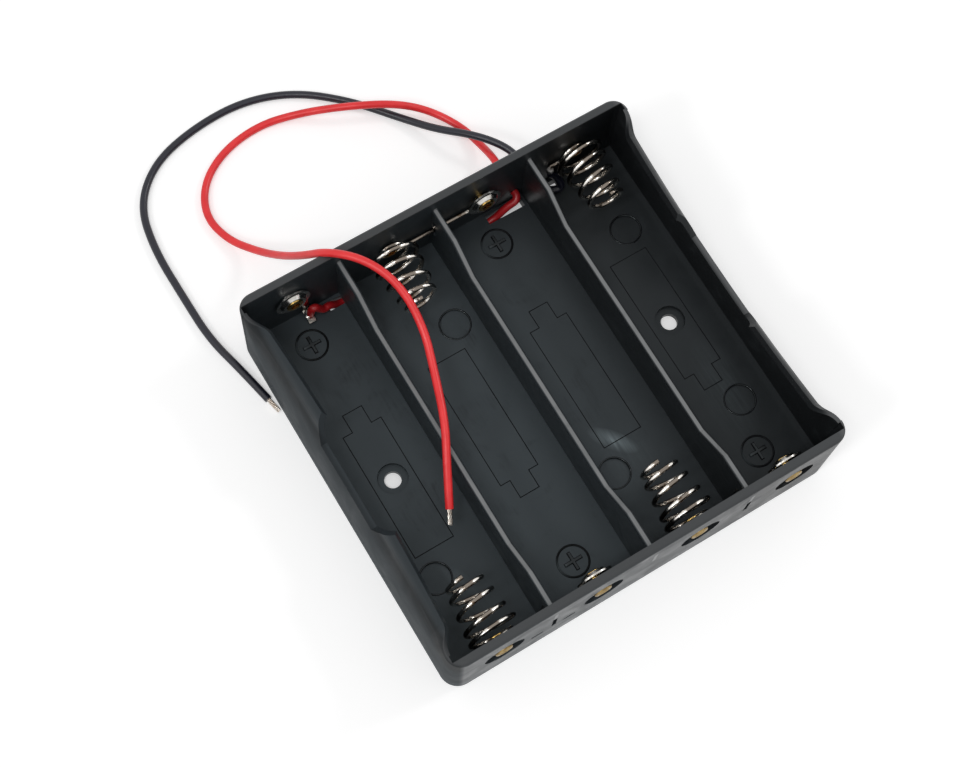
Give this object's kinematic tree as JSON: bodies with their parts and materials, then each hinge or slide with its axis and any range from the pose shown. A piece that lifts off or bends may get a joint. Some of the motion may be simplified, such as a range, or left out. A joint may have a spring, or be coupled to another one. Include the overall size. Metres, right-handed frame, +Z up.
{
  "type": "cylindrical cell holder",
  "caption": "Open-top moulded tray for cylindrical cells side by side in series, with coil spring and cupped plate contacts riveted to its end walls and flying leads.",
  "frame": {"origin": "middle of the tray's underside", "axes": "+X across the slots from slot 1 to slot 4, +Y along the cells towards the wall that the leads leave, +Z up, out of the open top"},
  "size_m": [0.0885, 0.1204, 0.025],
  "materials": {
    "black_plastic": "satin",
    "spring_wire": "polished",
    "nickel_plate": "polished",
    "brass_rivet": "polished",
    "solder": "satin",
    "red_insulation": "satin",
    "black_insulation": "satin",
    "tinned_copper": "satin"
  },
  "bodies": {
    "holder": {"tray": "black_plastic", "plus_cup_1": "nickel_plate", "plus_eyelet_1": "brass_rivet", "spring_eyelet_1": "brass_rivet", "plus_cup_2": "nickel_plate", "plus_eyelet_2": "brass_rivet", "spring_eyelet_2": "brass_rivet", "plus_cup_3": "nickel_plate", "plus_eyelet_3": "brass_rivet", "spring_eyelet_3": "brass_rivet", "plus_cup_4": "nickel_plate", "plus_eyelet_4": "brass_rivet", "spring_eyelet_4": "brass_rivet", "plus_tab": "nickel_plate", "plus_solder": "solder", "minus_solder": "solder", "red_lead_inner": "red_insulation", "black_lead_inner": "black_insulation", "red_lead": "red_insulation", "black_lead": "black_insulation", "red_lead_tip": "tinned_copper", "black_lead_tip": "tinned_copper"},
    "coil_1": {"spring_1": "spring_wire"},
    "coil_2": {"spring_2": "spring_wire"},
    "coil_3": {"spring_3": "spring_wire"},
    "coil_4": {"spring_4": "spring_wire"}
  },
  "joints": [
    {"name": "spring_1_compression", "type": "slide", "parent": "holder", "child": "coil_1", "axis": [0, -1, 0], "range_m": [0, 0.0065], "stiffness_N_per_m": 1500, "deforming": ["spring_1"]},
    {"name": "spring_2_compression", "type": "slide", "parent": "holder", "child": "coil_2", "axis": [0, 1, 0], "range_m": [0, 0.0065], "stiffness_N_per_m": 1500, "deforming": ["spring_2"]},
    {"name": "spring_3_compression", "type": "slide", "parent": "holder", "child": "coil_3", "axis": [0, -1, 0], "range_m": [0, 0.0065], "stiffness_N_per_m": 1500, "deforming": ["spring_3"]},
    {"name": "spring_4_compression", "type": "slide", "parent": "holder", "child": "coil_4", "axis": [0, 1, 0], "range_m": [0, 0.0065], "stiffness_N_per_m": 1500, "deforming": ["spring_4"]}
  ]
}
